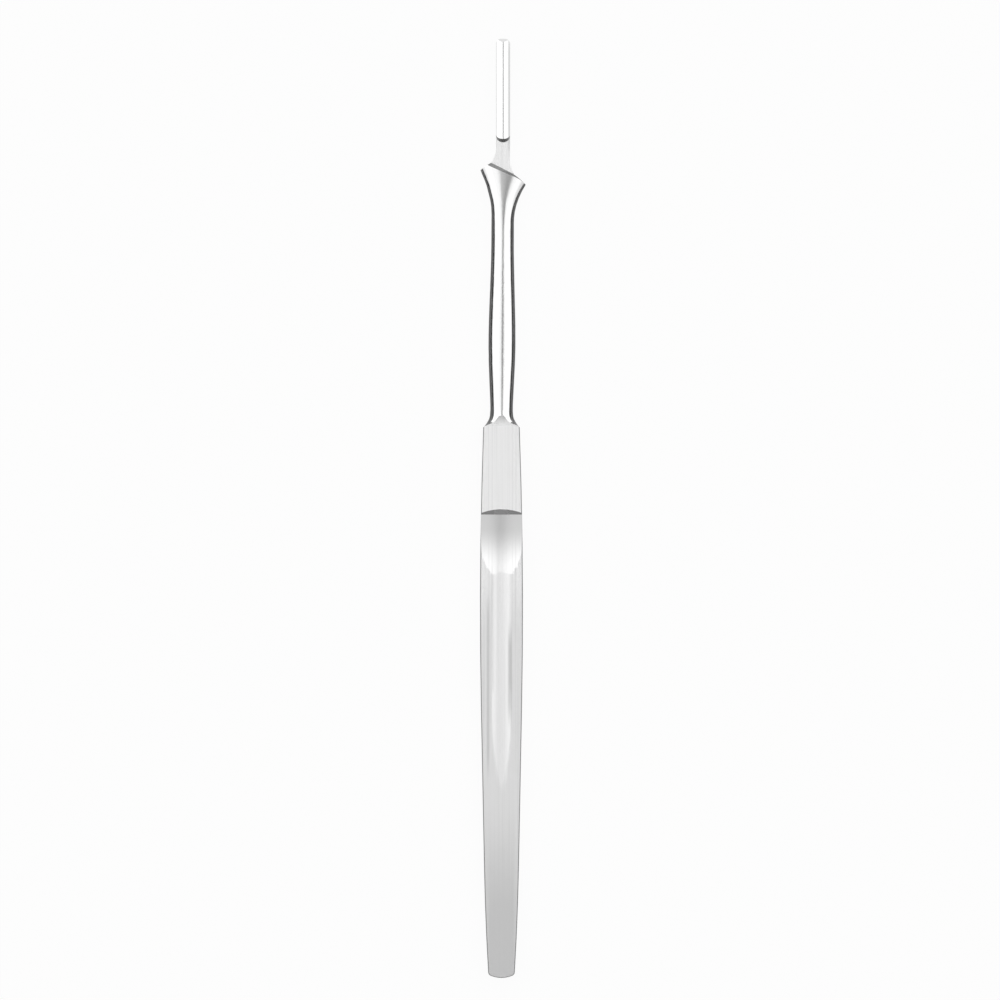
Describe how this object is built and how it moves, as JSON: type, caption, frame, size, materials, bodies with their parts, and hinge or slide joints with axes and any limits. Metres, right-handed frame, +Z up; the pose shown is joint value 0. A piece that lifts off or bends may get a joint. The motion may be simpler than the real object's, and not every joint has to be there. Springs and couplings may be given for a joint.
{
  "type": "scalpel handle",
  "caption": "Long steel scalpel handle with a slim oval neck, a thumb hollow and a narrow fitting for surgical blades.",
  "frame": {"origin": "middle of the bolster's back flat, which is one of the flats the handle lies on", "axes": "+Y along the handle, towards the blade end; +Z up, out of the upper flat, which is the blade's side; +X to the right of the handle seen from above with the blade end away from the viewer"},
  "size_m": [0.0102, 0.2099, 0.0034],
  "materials": {
    "steel": "satin steel, brushed along the length, with polished neck and edges"
  },
  "bodies": {
    "root": {"handle": "steel"}
  },
  "joints": []
}
